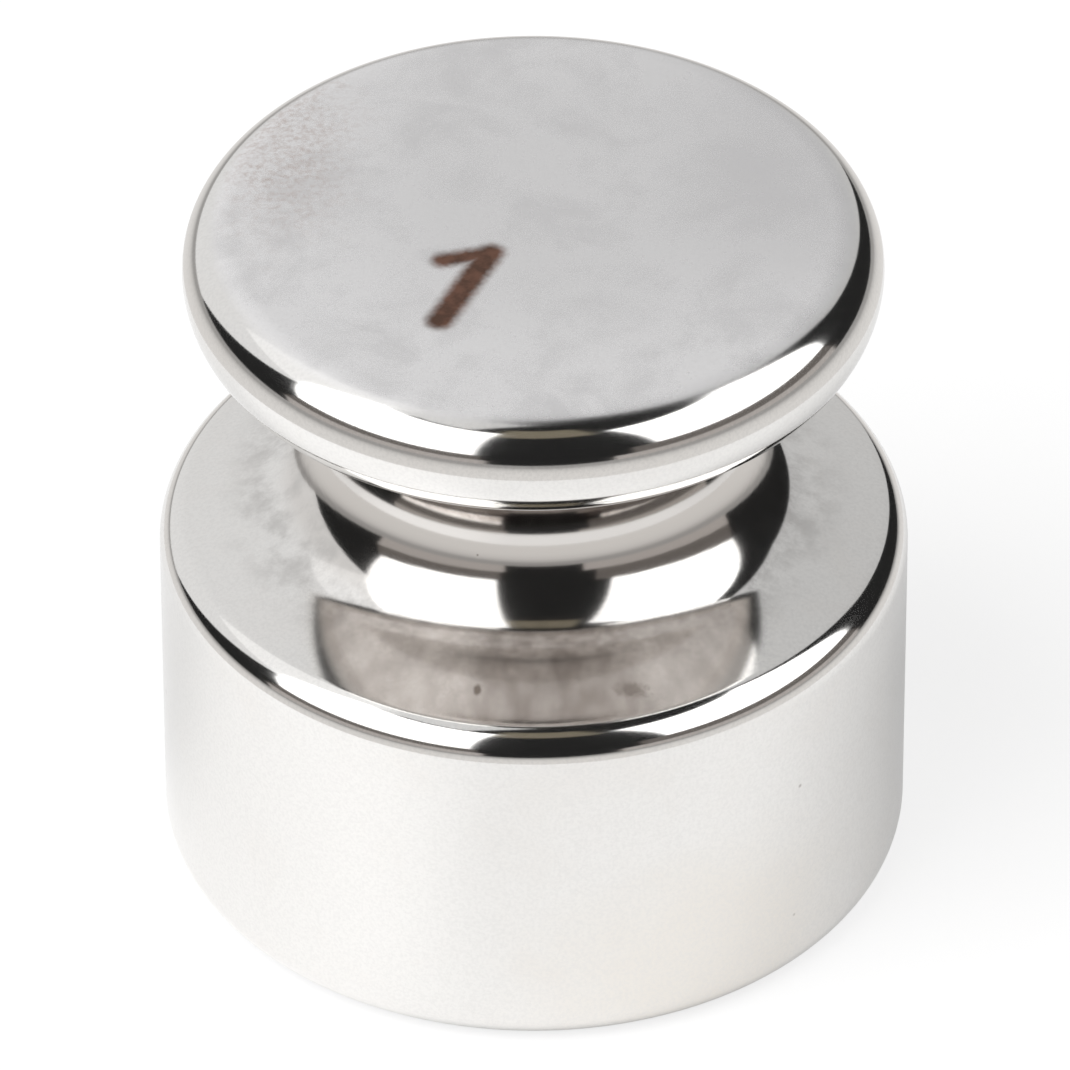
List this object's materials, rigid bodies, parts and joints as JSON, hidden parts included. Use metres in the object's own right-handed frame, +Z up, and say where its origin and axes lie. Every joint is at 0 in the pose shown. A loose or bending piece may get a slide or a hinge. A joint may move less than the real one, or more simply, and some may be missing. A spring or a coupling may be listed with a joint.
{
  "type": "calibration weight",
  "caption": "Small one-piece cylindrical mass standard with a flat base, a gently sloping shoulder, a waisted neck and a round flat-topped lifting knob, in polished steel.",
  "frame": {"origin": "centre of the flat base, on the surface the weight stands on", "axes": "+Z up along the turning axis, -Y towards the reader of the numeral"},
  "size_m": [0.006, 0.006, 0.006],
  "materials": {
    "polished_steel": "polished stainless steel, satin on top of the knob"
  },
  "bodies": {
    "root": {"weight": "polished_steel"}
  },
  "joints": []
}
